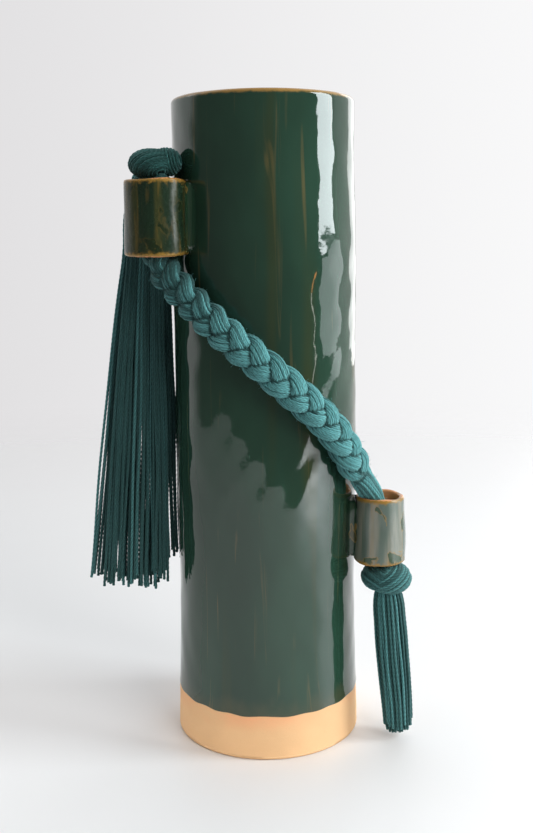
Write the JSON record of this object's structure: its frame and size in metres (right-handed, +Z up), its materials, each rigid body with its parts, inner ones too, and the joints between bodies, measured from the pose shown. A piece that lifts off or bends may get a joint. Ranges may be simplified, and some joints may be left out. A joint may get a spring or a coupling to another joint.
{
  "type": "vase with plaited cord",
  "caption": "Tall glazed stoneware cylinder vase with clay loops on its side, threaded by a plaited cotton cord that ends in a knotted fringe and a knotted tassel.",
  "frame": {"origin": "centre of the flat foot, on the vase's axis, at the height of the surface it stands on", "axes": "+Z up along the vase's axis, -Y towards the front that the plait crosses, +X towards the side with the lower loop"},
  "size_m": [0.156, 0.1017, 0.305],
  "materials": {
    "bare_clay": "unglazed buff stoneware, matt, with a peach flush near the glaze",
    "green_glaze": "deep glossy bottle-green glaze, amber where it thins at the rim",
    "liner_glaze": "glossy green liner glaze",
    "loop_glaze": "thinner glossy green glaze, breaking to amber and orange clay at the edges",
    "cotton_yarn": "plied teal cotton yarn, matt, slightly fuzzy"
  },
  "bodies": {
    "vase": {"vase_wall": "bare_clay", "base_slab": "bare_clay", "outer_glaze": "green_glaze", "liner_glaze": "liner_glaze", "upper_loop": "loop_glaze", "upper_loop_join": "loop_glaze", "lower_loop": "loop_glaze", "lower_loop_join": "loop_glaze", "plait": "cotton_yarn"},
    "upper_knot": {"top_knot": "cotton_yarn"},
    "fringe": {"fringe_neck": "cotton_yarn", "fringe_lock_1": "cotton_yarn", "fringe_lock_2": "cotton_yarn", "fringe_lock_3": "cotton_yarn", "fringe_lock_4": "cotton_yarn", "fringe_lock_5": "cotton_yarn", "fringe_lock_6": "cotton_yarn", "fringe_lock_7": "cotton_yarn"},
    "lower_knot": {"bottom_knot": "cotton_yarn"},
    "tassel": {"short_tassel": "cotton_yarn"}
  },
  "joints": [
    {"name": "upper_knot_turn", "type": "hinge", "parent": "vase", "child": "upper_knot", "pos_m": [-0.0479, -0.0276, 0.27], "axis": [0, 0, 1], "range_deg": [0, 45]},
    {"name": "fringe_lift", "type": "hinge", "parent": "upper_knot", "child": "fringe", "pos_m": [-0.055, -0.0077, 0.27], "axis": [1, 0, 0], "range_deg": [0, 50]},
    {"name": "lower_knot_turn", "type": "hinge", "parent": "vase", "child": "lower_knot", "pos_m": [0.0574, -0.0185, 0.086], "axis": [0, 0, 1], "range_deg": [-40, 40]},
    {"name": "tassel_swing", "type": "hinge", "parent": "lower_knot", "child": "tassel", "pos_m": [0.0574, -0.0185, 0.086], "axis": [-0.309, -0.9511, 0], "range_deg": [-10, 50]}
  ]
}
